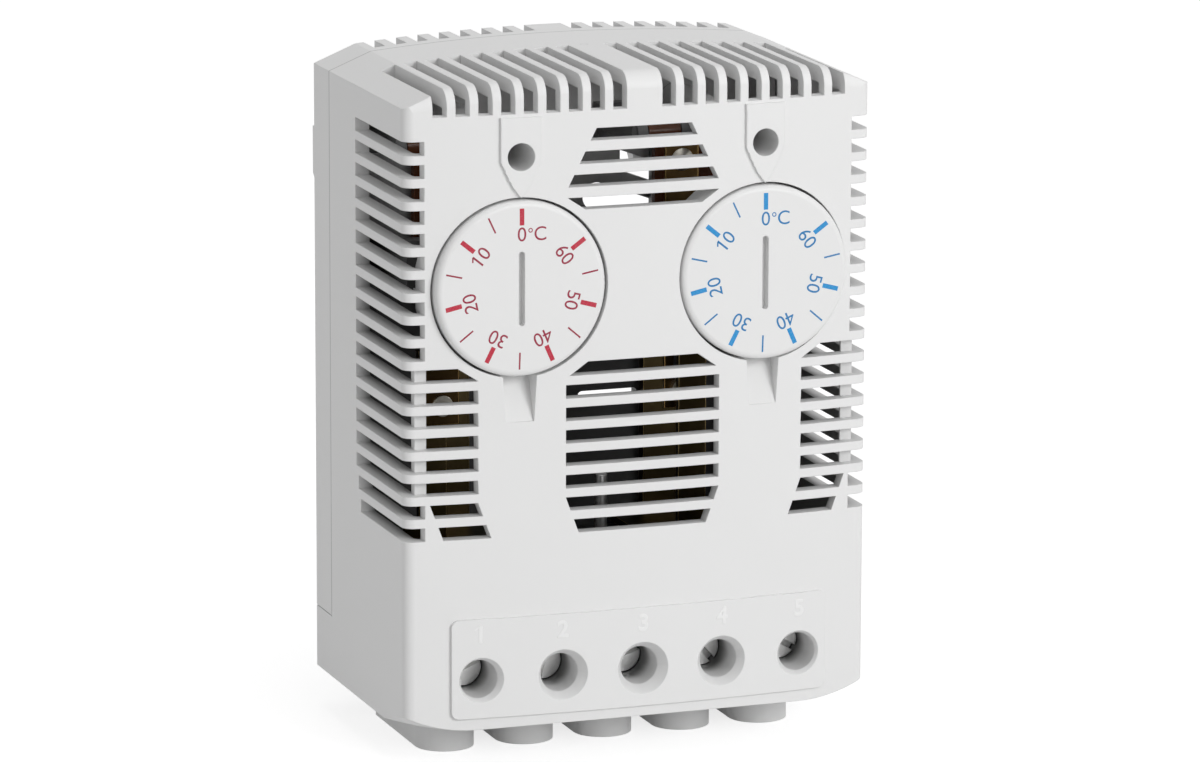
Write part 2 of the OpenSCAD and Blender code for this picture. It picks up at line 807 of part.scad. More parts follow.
// Keyed plunger that the spindle's thread drives back against the carrier
module plunger() {
    half = plunger_w / 2;
    difference() {
        block([-half, plunger_front_y, dial_z - half], [half, plunger_front_y + plunger_t, dial_z + half]);
        rod_y(spindle_pin_r + running, plunger_front_y - over,
            plunger_front_y + plunger_bore_l + joint_gap, dial_z);
    }
    rod_y(tip_r, plunger_front_y + plunger_t, carrier_y - carrier_t / 2 - running, dial_z);
}

module heating_dial() { color("whitesmoke") translate([-dial_x, 0, 0]) dial(); }
module cooling_dial() { color("whitesmoke") translate([dial_x, 0, 0]) dial(); }
module heating_spindle() { color("dimgray") translate([-dial_x, 0, 0]) spindle(); }
module cooling_spindle() { color("dimgray") translate([dial_x, 0, 0]) spindle(); }
module heating_plunger() { color("ivory") translate([-dial_x, 0, 0]) plunger(); }
module cooling_plunger() { color("ivory") translate([dial_x, 0, 0]) plunger(); }

// Switch units

// Frame: mounting plate, two ears for the pivot, and a bridge that guides the plunger
module frame() {
    hole = plunger_w / 2 + running;
    difference() {
        union() {
            block([frame_plate_x, floor_y - frame_plate_t, frame_low_z],
                [leg_x[1] + leg_t, floor_y, strip_top_z]);
            block([ear_x[0][0], floor_y - frame_plate_t, strip_top_z - knuckle_r],
                [leg_x[1] + leg_t, floor_y, strip_top_z]);
            block([ear_x[0][0], floor_y - frame_plate_t, strip_top_z - knuckle_r],
                [ear_x[1][1], floor_y, pivot_z + knuckle_r]);
            for (ear = ear_x) {
                block([ear[0], carrier_y, pivot_z - knuckle_r], [ear[1], floor_y, pivot_z + knuckle_r]);
                translate([ear[0], carrier_y, pivot_z]) rotate([0, 90, 0])
                    cylinder(h = ear[1] - ear[0], r = knuckle_r);
            }
            for (x = leg_x)
                block([x, bridge_y, dial_z - bridge_h / 2], [x + leg_t, floor_y, dial_z + leg_rise]);
            block([leg_x[0], bridge_y, dial_z - bridge_h / 2],
                [leg_x[1] + leg_t, bridge_y + bridge_t, dial_z + bridge_h / 2]);
        }
        translate([ear_x[0][0] - over, carrier_y, pivot_z]) rotate([0, 90, 0])
            cylinder(h = ear_x[1][1] - ear_x[0][0] + 2 * over, r = pin_r + press_gap);
        block([-hole, bridge_y - over, dial_z - hole], [hole, bridge_y + bridge_t + over, dial_z + hole]);
    }
}

module pivot_pin() {
    translate([ear_x[0][0], carrier_y, pivot_z]) rotate([0, 90, 0])
        cylinder(h = ear_x[1][1] - ear_x[0][0], r = pin_r);
}

// Tilting carrier that the bimetal strip is riveted to
module carrier() {
    half = carrier_t / 2;
    difference() {
        union() {
            translate([knuckle_x[0], carrier_y, pivot_z]) rotate([0, 90, 0])
                cylinder(h = knuckle_x[1] - knuckle_x[0], r = knuckle_r);
            block([plate_x[0], carrier_y - half, strip_top_z - knuckle_r],
                [knuckle_x[1], carrier_y + half, pivot_z]);
            block([plate_x[0], carrier_y - half, plate_low_z],
                [plate_x[1], carrier_y + half, strip_top_z - joint_gap]);
        }
        translate([knuckle_x[0] - over, carrier_y, pivot_z]) rotate([0, 90, 0])
            cylinder(h = knuckle_x[1] - knuckle_x[0] + 2 * over, r = pin_r + running);
        rod_y(rivet_r + press_gap, carrier_y - over, carrier_y + over, rivet_z, strip_mid);
    }
}

// Bimetal strip with a rounded root, about which it bends away from the carrier
module bimetal() {
    difference() {
        union() {
            block([strip_x[0], strip_y, strip_low_z], [strip_x[1], strip_y + strip_t, strip_root_z]);
            translate([strip_x[0], strip_y + strip_t / 2, strip_root_z]) rotate([0, 90, 0])
                cylinder(h = strip_x[1] - strip_x[0], r = strip_t / 2);
        }
        rod_y(rivet_r + joint_gap, strip_y - over, strip_y + over, rivet_z, strip_mid);
        rod_y(rivet_r + press_gap, strip_y - over, strip_y + over, contact_z, strip_mid);
    }
}

// Rivet that holds the strip's root, with a domed head towards the front
module rivet() {
    rod_y(rivet_r, strip_y - joint_gap, carrier_y + carrier_t / 2, rivet_z, strip_mid);
    rod_y(contact_r, carrier_y + carrier_t / 2, carrier_y + carrier_t / 2 + head_t, rivet_z, strip_mid);
    translate([strip_mid, strip_y - joint_gap, rivet_z]) rotate([90, 0, 0]) difference() {
        translate([0, 0, -contact_r]) sphere(contact_r * sqrt(2), $fn = 32);
        translate([0, 0, -3 * contact_r]) cylinder(h = 3 * contact_r, r = 2 * contact_r);
    }
}

// Silver contact through the strip; side is 1 behind it and -1 in front of it
module moving_contact(side) {
    face = side > 0 ? strip_y + strip_t : strip_y - contact_t;
    tail = side > 0 ? strip_y - head_t : strip_y + strip_t;
    rod_y(contact_r, face, face + contact_t, contact_z, strip_mid);
    rod_y(rivet_r, strip_y, strip_y + strip_t, contact_z, strip_mid);
    rod_y(contact_r - joint_gap, tail, tail + head_t, contact_z, strip_mid);
}

module heating_frame() { color("peru") translate([-dial_x, 0, 0]) frame(); }
module cooling_frame() { color("peru") translate([dial_x, 0, 0]) frame(); }
module heating_pivot_pin() { color("silver") translate([-dial_x, 0, 0]) pivot_pin(); }
module cooling_pivot_pin() { color("silver") translate([dial_x, 0, 0]) pivot_pin(); }
module heating_carrier() { color("sienna") translate([-dial_x, 0, 0]) carrier(); }
module cooling_carrier() { color("sienna") translate([dial_x, 0, 0]) carrier(); }
module heating_bimetal() { color("goldenrod") translate([-dial_x, 0, 0]) bimetal(); }
module cooling_bimetal() { color("goldenrod") translate([dial_x, 0, 0]) bimetal(); }
module heating_rivet() { color("khaki") translate([-dial_x, 0, 0]) rivet(); }
module cooling_rivet() { color("khaki") translate([dial_x, 0, 0]) rivet(); }
module heating_moving_contact() { color("white") translate([-dial_x, 0, 0]) moving_contact(1); }
module cooling_moving_contact() { color("white") translate([dial_x, 0, 0]) moving_contact(-1); }

module heating_fixed_contact() {
    color("white") translate([-dial_x, 0, 0])
        rod_y(contact_r, heating_rail_y - contact_t, heating_rail_y, contact_z, strip_mid);
}

module cooling_fixed_contact() {
    color("white") translate([dial_x, 0, 0])
        rod_y(contact_r, cooling_rail_y + bar_t, cooling_rail_y + bar_t + contact_t, contact_z, strip_mid);
}

module magnet_at(y) {
    block([strip_mid - magnet_w / 2, y, magnet_z - magnet_h / 2],
        [strip_mid + magnet_w / 2, y + bar_t, magnet_z + magnet_h / 2]);
}

module heating_magnet() {
    color("darkslategray") translate([-dial_x, 0, 0]) magnet_at(heating_rail_y - bar_t);
}

module cooling_magnet() {
    color("darkslategray") translate([dial_x, 0, 0]) magnet_at(cooling_rail_y + bar_t);
}

// Terminals

module terminal_block() {
    half = chamber_w / 2;
    rib_z = pole_z + cage_h / 2 + joint_gap;
    spout_z = bottom_z - spout_drop;
    spout_h = block_floor_z - spout_z;
    color("darkgray") difference() {
        union() {
            block([-block_w / 2, block_front_y, block_low_z], [block_w / 2, floor_y, block_top_z]);
            at_poles() {
                translate([0, spout_front_y, spout_z]) cylinder(h = spout_h, r = spout_w / 2);
                block([-spout_w / 2, spout_front_y, spout_z], [spout_w / 2, spout_back_y, block_floor_z]);
            }
        }
        at_poles() {
            difference() {
                block([-half, block_front_y + block_wall, block_floor_z],
                    [half, chamber_back_y, block_top_z + over]);
                block([-half - over, bar_y + bar_t + running, rib_z],
                    [half + over, bar_y + 2 * bar_t + running, rib_z + rib_t]);
            }
            rod_y(screw_r + joint_gap, block_front_y - over, block_front_y + block_wall + over, pole_z);
            translate([0, wire_y, spout_z - over]) cylinder(h = spout_h + 2 * over, r = wire_r);
            translate([0, wire_y, spout_z]) cylinder(h = mouth_d, r1 = mouth_r, r2 = wire_r);
            block([-pole_bar_x - running, bar_y - running, block_floor_z - block_floor_t / 2],
                [pole_bar_x + running, bar_y + bar_t + running, block_floor_z + over]);
        }
    }
}

module cage(i) {
    inner = cage_w / 2 - cage_wall;
    color("gold") translate([pole_x(i), 0, pole_z]) difference() {
        block([-cage_w / 2, cage_front_y, -cage_h / 2], [cage_w / 2, cage_back_y, cage_h / 2]);
        block([-inner, cage_front_y + cage_front_wall, -cage_h], [inner, cage_back_y - cage_wall, cage_h]);
        rod_y(screw_r + running, cage_front_y - over, cage_front_y + cage_front_wall + over, 0);
    }
}

module screw(i) {
    color("silver") translate([pole_x(i), 0, pole_z]) {
        difference() {
            rod_y(head_r, screw_front_y, screw_front_y + screw_head_t, 0);
            rotate([0, -screw_turns[i], 0]) block([-head_r - over, screw_front_y - over, -driver_w / 2],
                [head_r + over, screw_front_y + driver_d, driver_w / 2]);
        }
        rod_y(screw_r, screw_front_y + screw_head_t, bar_y - running, 0);
    }
}

// Upright part of a busbar that stands in its cage
module bar_foot(i) {
    x = pole_x(i);
    block([x - pole_bar_x, bar_y, bar_low_z], [x + pole_bar_x, bar_y + bar_t, bar_turn_z]);
}

// Busbar that turns back to a frame's plate and rises to its lower edge
module frame_bar(i, x) {
    low = min(pole_x(i) - pole_bar_x, x - pole_bar_x);
    high = max(pole_x(i) + pole_bar_x, x + pole_bar_x);
    bar_foot(i);
    block([low, bar_y, bar_turn_z - bar_t], [high, floor_y - running, bar_turn_z]);
    block([x - pole_bar_x, floor_y - frame_plate_t + running, bar_turn_z - bar_t],
        [x + pole_bar_x, floor_y - running, frame_low_z]);
}

// Busbar that carries a fixed contact and its magnet on an upright blade
module contact_bar(i, x, y) {
    pole = pole_x(i);
    low = min(pole - pole_bar_x, x - rail_w / 2);
    high = max(pole + pole_bar_x, x + rail_w / 2);
    bar_foot(i);
    block([pole - pole_bar_x, min(y, bar_y), bar_turn_z - bar_t],
        [pole + pole_bar_x, max(y, bar_y) + bar_t, bar_turn_z]);
    block([low, y, bar_turn_z - bar_t], [high, y + bar_t, bar_turn_z + rail_w]);
    block([x - rail_w / 2, y, bar_turn_z - bar_t], [x + rail_w / 2, y + bar_t, magnet_z + magnet_h / 2]);
}

module busbar_1() { color("burlywood") contact_bar(0, strip_mid - dial_x, heating_rail_y); }
module busbar_2() { color("burlywood") frame_bar(1, leg_x[1] + leg_t - pole_bar_x - joint_gap - dial_x); }

module busbar_3() {
    color("burlywood") {
        bar_foot(2);
        translate([bar_pin_x, bar_y + bar_t / 2, bar_turn_z - bar_t])
            cylinder(h = bar_pin_l + bar_t, r = bar_pin_r);
    }
}

module busbar_4() { color("burlywood") frame_bar(3, dial_x - frame_bar_shift); }
module busbar_5() { color("burlywood") contact_bar(4, strip_mid + dial_x, cooling_rail_y); }

// Rail clip

module rail_clip() {
    grip_z = clip_low_z + clip_foot_t;
    lip = rail_t + grip_gap;
    plate_y0 = clip_y - clip_t;
    tab_z = clip_low_z - clip_tab_l;
    color("dimgray") difference() {
        union() {
            block([-clip_w / 2, plate_y0, clip_low_z], [clip_w / 2, clip_y, clip_top_z]);
            slab_x(-clip_w / 2, clip_w / 2) polygon([
                [plate_y0, clip_low_z], [lip + hook_t / 2, clip_low_z],
                [lip + hook_t, clip_low_z + clip_foot_t / 2], [lip + hook_t, grip_z + hook_grip / 2],
                [lip + hook_t / 2, grip_z + hook_grip],
                [lip, grip_z + hook_grip], [lip, grip_z], [plate_y0, grip_z]
            ]);
            block([-shelf_w / 2, plate_y0, tab_z], [shelf_w / 2, clip_y, grip_z]);
            block([-shelf_w / 2, spring_y - spring_r - 2 * spring_wire_r, clip_shelf_z],
                [shelf_w / 2, clip_y, clip_shelf_z + shelf_t]);
        }
        block([-eye_w / 2, plate_y0 - over, tab_z + eye_h], [eye_w / 2, clip_y + over, tab_z + 2 * eye_h]);
    }
}

// Coil spring as one tube round a helix with level ends
function rise(t) = (t * spring_turns - end_turns) / (spring_turns - 2 * end_turns);
function helix_z(t) = spring_low + (spring_high - spring_low) * max(0, min(1, rise(t)));
function ring_point(t, b) =
    let(a = 360 * spring_turns * t, r = spring_r + spring_wire_r * cos(b))
    [r * cos(a), spring_y + r * sin(a), helix_z(t) + spring_wire_r * sin(b)];

module clip_spring() {
    points = [
        for (i = [0:ring_count - 1], j = [0:ring_sides - 1])
            ring_point(i / (ring_count - 1), -360 * j / ring_sides)
    ];
    side_faces = [
        for (i = [0:ring_count - 2], j = [0:ring_sides - 1])
            let(a = i * ring_sides + j, b = i * ring_sides + (j + 1) % ring_sides)
            for (f = [[a, b, b + ring_sides], [a, b + ring_sides, a + ring_sides]]) f
    ];
    first = [for (j = [ring_sides - 1:-1:0]) j];
    last = [for (j = [0:ring_sides - 1]) (ring_count - 1) * ring_sides + j];
    color("silver") polyhedron(points, concat(side_faces, [first], [last]));
}

base();
cover();
cover_screws();
heating_dial();
cooling_dial();
heating_spindle();
cooling_spindle();
heating_plunger();
cooling_plunger();
heating_frame();
cooling_frame();
heating_pivot_pin();
cooling_pivot_pin();
heating_carrier();
cooling_carrier();
heating_bimetal();
cooling_bimetal();
heating_rivet();
cooling_rivet();
heating_moving_contact();
cooling_moving_contact();
heating_fixed_contact();
cooling_fixed_contact();
heating_magnet();
cooling_magnet();
terminal_block();
busbar_1();
busbar_2();
busbar_3();
busbar_4();
busbar_5();
cage(0);  // terminal_cage_1
cage(1);  // terminal_cage_2
cage(2);  // terminal_cage_3
cage(3);  // terminal_cage_4
cage(4);  // terminal_cage_5
screw(0);  // terminal_screw_1
screw(1);  // terminal_screw_2
screw(2);  // terminal_screw_3
screw(3);  // terminal_screw_4
screw(4);  // terminal_screw_5
rail_clip();
clip_spring();
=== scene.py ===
"""Looks of the twin rail thermostat: moulded plastics, printed scales, switch metals, light and camera."""
import json
import math

import bpy
from mathutils import Matrix, Vector


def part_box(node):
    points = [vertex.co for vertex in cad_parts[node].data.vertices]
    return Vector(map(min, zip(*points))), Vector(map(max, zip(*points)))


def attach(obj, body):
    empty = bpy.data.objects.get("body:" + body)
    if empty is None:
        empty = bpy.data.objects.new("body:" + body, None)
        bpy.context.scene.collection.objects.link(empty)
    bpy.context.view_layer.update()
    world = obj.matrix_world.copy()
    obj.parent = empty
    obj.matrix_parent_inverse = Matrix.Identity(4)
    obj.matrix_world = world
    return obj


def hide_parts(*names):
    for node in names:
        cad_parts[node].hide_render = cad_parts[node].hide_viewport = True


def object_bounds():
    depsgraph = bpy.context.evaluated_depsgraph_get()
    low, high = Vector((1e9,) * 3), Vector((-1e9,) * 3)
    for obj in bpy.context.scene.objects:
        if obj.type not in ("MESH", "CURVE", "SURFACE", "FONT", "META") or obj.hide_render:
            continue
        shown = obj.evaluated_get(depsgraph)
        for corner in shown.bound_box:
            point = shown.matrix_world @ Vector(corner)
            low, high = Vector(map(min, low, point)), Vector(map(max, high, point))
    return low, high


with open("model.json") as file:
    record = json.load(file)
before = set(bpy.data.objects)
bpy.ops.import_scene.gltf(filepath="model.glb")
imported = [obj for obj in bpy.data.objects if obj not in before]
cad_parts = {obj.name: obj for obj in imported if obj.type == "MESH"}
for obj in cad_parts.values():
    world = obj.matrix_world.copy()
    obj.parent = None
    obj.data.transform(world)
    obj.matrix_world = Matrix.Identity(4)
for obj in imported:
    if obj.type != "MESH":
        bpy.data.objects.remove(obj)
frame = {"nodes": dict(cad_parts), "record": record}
nodes = frame["nodes"]
cad_low, cad_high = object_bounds()

MM = 0.001
MERGE = 1e-6  # corners of a mesh that lie closer than this become one

DIAL_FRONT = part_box("heating_dial")[0].y
DIALS = {
    name: (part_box(name + "_dial")[0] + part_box(name + "_dial")[1]) / 2
    for name in ("heating", "cooling")
}
STEP = math.radians(50.92)  # turn of the dial for ten degrees of its scale
TENS = 7  # numbers on the scale, from 0 to 60

CROWN_R = 216 * MM  # bow of the housing's front, seen from above
RAISED = 0.35 * MM  # height of the terminal panel and the pointer tabs over that bow
SEAM_Y = -16.4 * MM  # joint of the two shells


# Node groups


def group(name, inputs, outputs):
    """An empty group. An input whose value is a number takes numbers, any other takes vectors."""
    tree = bpy.data.node_groups.new(name, "ShaderNodeTree")
    for label, value in inputs.items():
        kind = "NodeSocketFloat" if isinstance(value, float) else "NodeSocketVector"
        socket = tree.interface.new_socket(name=label, in_out="INPUT", socket_type=kind)
        if value is not None:
            socket.default_value = value
    for label in outputs:
        tree.interface.new_socket(name=label, in_out="OUTPUT", socket_type="NodeSocketFloat")
    return tree, tree.nodes.new("NodeGroupInput"), tree.nodes.new("NodeGroupOutput")


def add(tree, kind, **settings):
    made = tree.nodes.new(kind)
    for key, value in settings.items():
        setattr(made, key, value)
    return made


def noise(tree, vector, scale, detail, rough):
    made = add(tree, "ShaderNodeTexNoise")
    made.inputs["Scale"].default_value = scale
    made.inputs["Detail"].default_value = detail
    made.inputs["Roughness"].default_value = rough
    tree.links.new(vector, made.inputs["Vector"])
    return made.outputs["Fac"]


def math_node(tree, operation, a, b=None, c=None, **settings):
    made = add(tree, "ShaderNodeMath", operation=operation, **settings)
    for i, value in enumerate((a, b, c)):
        if value is None:
            continue
        if isinstance(value, (int, float)):
            made.inputs[i].default_value = value
        else:
            tree.links.new(value, made.inputs[i])
    return made.outputs[0]


def apart(tree, a, b):
    """How far two numbers are from each other."""
    return math_node(tree, "ABSOLUTE", math_node(tree, "SUBTRACT", a, b))


def ramp(tree, value, start, end):
    """Nought up to the start, one from the end on, and smooth between them."""
    made = add(tree, "ShaderNodeMapRange", interpolation_type="SMOOTHSTEP")
    tree.links.new(value, made.inputs["Value"])
    made.inputs["From Min"].default_value = start
    made.inputs["From Max"].default_value = end
    return made.outputs["Result"]


def split(tree, vector):
    parts = add(tree, "ShaderNodeSeparateXYZ")
    tree.links.new(vector, parts.inputs[0])
    return (parts.outputs[k] for k in "XYZ")


# scale, detail and roughness of the noise that a mould's fine spark texture is made of
SPARK = (5200, 3, 0.6)


def moulded_grain():
    """Fine spark texture of a mould, with broad slow mottling of the colour."""
    tree, gin, gout = group(
        "Moulded Grain",
        {"Vector": None, "Mottle": 0.03, "Sheen Spread": 0.06, "Roughness": 0.5},
        ["Height", "Tint", "Roughness"],
    )
    vector = gin.outputs["Vector"]
    fine = noise(tree, vector, *SPARK)
    coarse = noise(tree, vector, 1500, 2, 0.5)
    broad = noise(tree, vector, 60, 3, 0.5)
    tree.links.new(math_node(tree, "MULTIPLY_ADD", coarse, 0.45, fine), gout.inputs["Height"])
    centred = math_node(tree, "SUBTRACT", broad, 0.5)
    speck = math_node(tree, "MULTIPLY", math_node(tree, "SUBTRACT", fine, 0.5), 0.35)
    mixed = math_node(tree, "ADD", centred, speck)
    tint = math_node(tree, "MULTIPLY_ADD", mixed, gin.outputs["Mottle"], 1.0)
    tree.links.new(tint, gout.inputs["Tint"])
    rough = math_node(tree, "MULTIPLY_ADD", centred, gin.outputs["Sheen Spread"], gin.outputs["Roughness"])
    tree.links.new(rough, gout.inputs["Roughness"])
    return tree


def drawn_metal():
    """Rolled or turned metal: fine lines along one way, with stains."""
    tree, gin, gout = group(
        "Drawn Metal",
        {"Vector": None, "Stain": 0.15, "Roughness": 0.3},
        ["Height", "Tint", "Roughness"],
    )
    stretch = add(tree, "ShaderNodeMapping")
    stretch.inputs["Scale"].default_value = (1, 1, 0.06)
    tree.links.new(gin.outputs["Vector"], stretch.inputs["Vector"])
    lines = noise(tree, stretch.outputs["Vector"], 6000, 3, 0.6)
    tree.links.new(lines, gout.inputs["Height"])
    stain = math_node(tree, "SUBTRACT", noise(tree, gin.outputs["Vector"], 350, 4, 0.6), 0.5)
    tree.links.new(math_node(tree, "MULTIPLY_ADD", stain, gin.outputs["Stain"], 1.0), gout.inputs["Tint"])
    rough = math_node(tree, "MULTIPLY_ADD", lines, 0.12, gin.outputs["Roughness"])
    tree.links.new(rough, gout.inputs["Roughness"])
    return tree


def printed_ink():
    """Ink on moulded plastic: thinner towards the grain's peaks."""
    tree, gin, gout = group("Printed Ink", {"Vector": None, "Thin": 0.2}, ["Cover", "Height"])
    fine = noise(tree, gin.outputs["Vector"], *SPARK)
    cover = math_node(tree, "MULTIPLY", math_node(tree, "SUBTRACT", fine, 0.45), gin.outputs["Thin"])
    tree.links.new(cover, gout.inputs["Cover"])
    tree.links.new(fine, gout.inputs["Height"])
    return tree


def round_mark():
    """One where a small ring lies round a point of the surface, and nought elsewhere."""
    tree, gin, gout = group(
        "Round Mark",
        {"Vector": None, "Centre": (0, 0, 0), "Radius": 0.4 * MM, "Line": 0.12 * MM},
        ["Ring"],
    )
    reach = add(tree, "ShaderNodeVectorMath", operation="DISTANCE")
    tree.links.new(gin.outputs["Vector"], reach.inputs[0])
    tree.links.new(gin.outputs["Centre"], reach.inputs[1])
    off = apart(tree, reach.outputs["Value"], gin.outputs["Radius"])
    share = math_node(tree, "DIVIDE", off, gin.outputs["Line"])
    tree.links.new(math_node(tree, "SUBTRACT", 1.0, share, use_clamp=True), gout.inputs["Ring"])
    return tree


def hollow_shade():
    """Grows from nought at the housing's skin to one deep in its hollow; less high up, where light falls in."""
    tree, gin, gout = group("Hollow Shade", {"Vector": None}, ["Inside"])
    x, y, z = split(tree, gin.outputs["Vector"])
    bow = math_node(tree, "MULTIPLY", math_node(tree, "MULTIPLY", x, x), 1 / (2 * CROWN_R))
    depth = math_node(tree, "SUBTRACT", y, bow)
    vents = ramp(tree, depth, -42.1 * MM, -38.4 * MM)
    # the grooves under the dials and the screws' holes stay light to a greater depth
    light = ramp(tree, z, -19.5 * MM, -21 * MM)
    for centre in DIALS.values():
        light = math_node(tree, "MAXIMUM", light, ramp(tree, apart(tree, x, centre.x), 3.6 * MM, 3.1 * MM))
    holes = ramp(tree, depth, -39.9 * MM, -37.2 * MM)
    inside = math_node(tree, "MULTIPLY_ADD", math_node(tree, "SUBTRACT", holes, vents), light, vents)
    side = ramp(tree, math_node(tree, "ABSOLUTE", x), 24.8 * MM, 22.9 * MM)
    top = ramp(tree, math_node(tree, "ADD", z, bow), 33.1 * MM, 30.6 * MM)
    under = ramp(tree, z, -33.4 * MM, -32.0 * MM)
    rear = ramp(tree, y, -12.5 * MM, -12.9 * MM)
    for factor in (side, top, under, rear):
        inside = math_node(tree, "MULTIPLY", inside, factor)
    high = math_node(tree, "MULTIPLY_ADD", ramp(tree, z, 4 * MM, 24 * MM), -0.8, 0.9)
    tree.links.new(math_node(tree, "MULTIPLY", inside, high), gout.inputs["Inside"])
    return tree


def painted_edge_highlight():
    """Painted highlight: one along the edges, where the softened normal leaves the face's own."""
    tree, gin, gout = group("Painted Edge Highlight", {"Soft Normal": None}, ["Edge"])
    face = add(tree, "ShaderNodeNewGeometry")
    near = add(tree, "ShaderNodeVectorMath", operation="DOT_PRODUCT")
    tree.links.new(gin.outputs["Soft Normal"], near.inputs[0])
    tree.links.new(face.outputs["True Normal"], near.inputs[1])
    tree.links.new(ramp(tree, near.outputs["Value"], 0.985, 0.8), gout.inputs["Edge"])
    return tree


def joint_line():
    """One along the joint of the two shells, down to where the rear shell's tongue ends."""
    tree, gin, gout = group("Joint Line", {"Vector": None}, ["Line"])
    x, y, z = split(tree, gin.outputs["Vector"])
    line = ramp(tree, apart(tree, y, SEAM_Y), 0.14 * MM, 0.02 * MM)
    above = ramp(tree, z, -27.2 * MM, -26.6 * MM)
    tree.links.new(math_node(tree, "MULTIPLY", line, above), gout.inputs["Line"])
    return tree


GRAIN = moulded_grain()
METAL = drawn_metal()
INK = printed_ink()
MARK = round_mark()
HOLLOW = hollow_shade()
EDGE_HIGHLIGHT = painted_edge_highlight()
JOINT = joint_line()


# Materials


def new_material(name):
    made = bpy.data.materials.new(name)
    made.use_nodes = True
    made.node_tree.nodes.clear()
    out = add(made.node_tree, "ShaderNodeOutputMaterial")
    shader = add(made.node_tree, "ShaderNodeBsdfPrincipled")
    made.node_tree.links.new(shader.outputs["BSDF"], out.inputs["Surface"])
    place = add(made.node_tree, "ShaderNodeTexCoord")
    return made, made.node_tree, shader, place.outputs["Object"]


def use_group(tree, which, vector, **values):
    made = add(tree, "ShaderNodeGroup", node_tree=which)
    tree.links.new(vector, made.inputs[0])
    for key, value in values.items():
        made.inputs[key].default_value = value
    return made


def tinted(tree, colour, tint):
    """The written colour, made lighter and darker by the tint."""
    made = add(tree, "ShaderNodeVectorMath", operation="SCALE")
    made.inputs[0].default_value = colour
    tree.links.new(tint, made.inputs["Scale"])
    return made.outputs["Vector"]


def soft_normal(tree, radius):
    made = add(tree, "ShaderNodeBevel", samples=6)
    made.inputs["Radius"].default_value = radius
    return made.outputs["Normal"]


def surface(tree, shader, height, strength, distance, normal=None):
    bump = add(tree, "ShaderNodeBump")
    bump.inputs["Strength"].default_value = strength
    bump.inputs["Distance"].default_value = distance
    tree.links.new(height, bump.inputs["Height"])
    if normal:
        tree.links.new(normal, bump.inputs["Normal"])
    tree.links.new(bump.outputs["Normal"], shader.inputs["Normal"])


def changed(tree, tint, mask, amount):
    """The tint, lighter or darker by an amount where the mask is one."""
    return math_node(tree, "MULTIPLY_ADD", mask, amount, tint)


# lightens the tint along the edges by the amount: a painted highlight
def lit_edges(tree, tint, normal, amount):
    return changed(tree, tint, use_group(tree, EDGE_HIGHLIGHT, normal).outputs["Edge"], amount)


def shaded(tree, tint, vector, share):
    """The tint, darker in the housing's hollow."""
    inside = use_group(tree, HOLLOW, vector).outputs["Inside"]
    return math_node(tree, "MULTIPLY", tint, math_node(tree, "MULTIPLY_ADD", inside, -share, 1.0))


def plastic(name, colour, roughness, grain, mottle=0.03, soft_edge=0.12 * MM, dark=0.0, highlight_amount=0.04,
            mark=None, joint=False):
    made, tree, shader, vector = new_material(name)
    look = use_group(tree, GRAIN, vector, Mottle=mottle, Roughness=roughness)
    normal = soft_normal(tree, soft_edge)
    # the edges are made lighter: painted highlight
    tint = lit_edges(tree, look.outputs["Tint"], normal, highlight_amount)
    if mark:
        tint = changed(tree, tint, use_group(tree, MARK, vector, Centre=mark).outputs["Ring"], -0.18)
    if joint:
        tint = changed(tree, tint, use_group(tree, JOINT, vector).outputs["Line"], -0.5)
    if dark:
        tint = shaded(tree, tint, vector, dark)
    tree.links.new(tinted(tree, colour, tint), shader.inputs["Base Color"])
    tree.links.new(look.outputs["Roughness"], shader.inputs["Roughness"])
    shader.inputs["Specular IOR Level"].default_value = 0.4
    surface(tree, shader, look.outputs["Height"], grain, 0.02 * MM, normal)
    return made


def metal(name, colour, roughness, stain=0.15, grain=0.15, soft_edge=0.08 * MM, dark=0.0, highlight_amount=0.25):
    made, tree, shader, vector = new_material(name)
    look = use_group(tree, METAL, vector, Stain=stain, Roughness=roughness)
    normal = soft_normal(tree, soft_edge)
    tint = look.outputs["Tint"]
    if dark:
        tint = shaded(tree, tint, vector, dark)
    # the edges are made lighter: painted highlight
    tint = lit_edges(tree, tint, normal, highlight_amount)
    tree.links.new(tinted(tree, colour, tint), shader.inputs["Base Color"])
    tree.links.new(look.outputs["Roughness"], shader.inputs["Roughness"])
    shader.inputs["Metallic"].default_value = 1.0
    surface(tree, shader, look.outputs["Height"], grain, 0.01 * MM, normal)
    return made


def ink(name, colour):
    """Ink that lets a little of the housing's grey through."""
    made, tree, shader, vector = new_material(name)
    look = use_group(tree, INK, vector, Thin=0.25)
    mix = add(tree, "ShaderNodeMix", data_type="RGBA")
    mix.inputs["A"].default_value = (*colour, 1)
    mix.inputs["B"].default_value = (*GREY, 1)
    tree.links.new(look.outputs["Cover"], mix.inputs["Factor"])
    tree.links.new(mix.outputs["Result"], shader.inputs["Base Color"])
    shader.inputs["Roughness"].default_value = 0.45
    surface(tree, shader, look.outputs["Height"], 0.15, 0.02 * MM)
    return made


GREY = (0.78, 0.78, 0.778)
GATE_MARK = (-0.18 * MM, -24.74 * MM, 33.5 * MM)  # the moulding's round mark on top of the cover

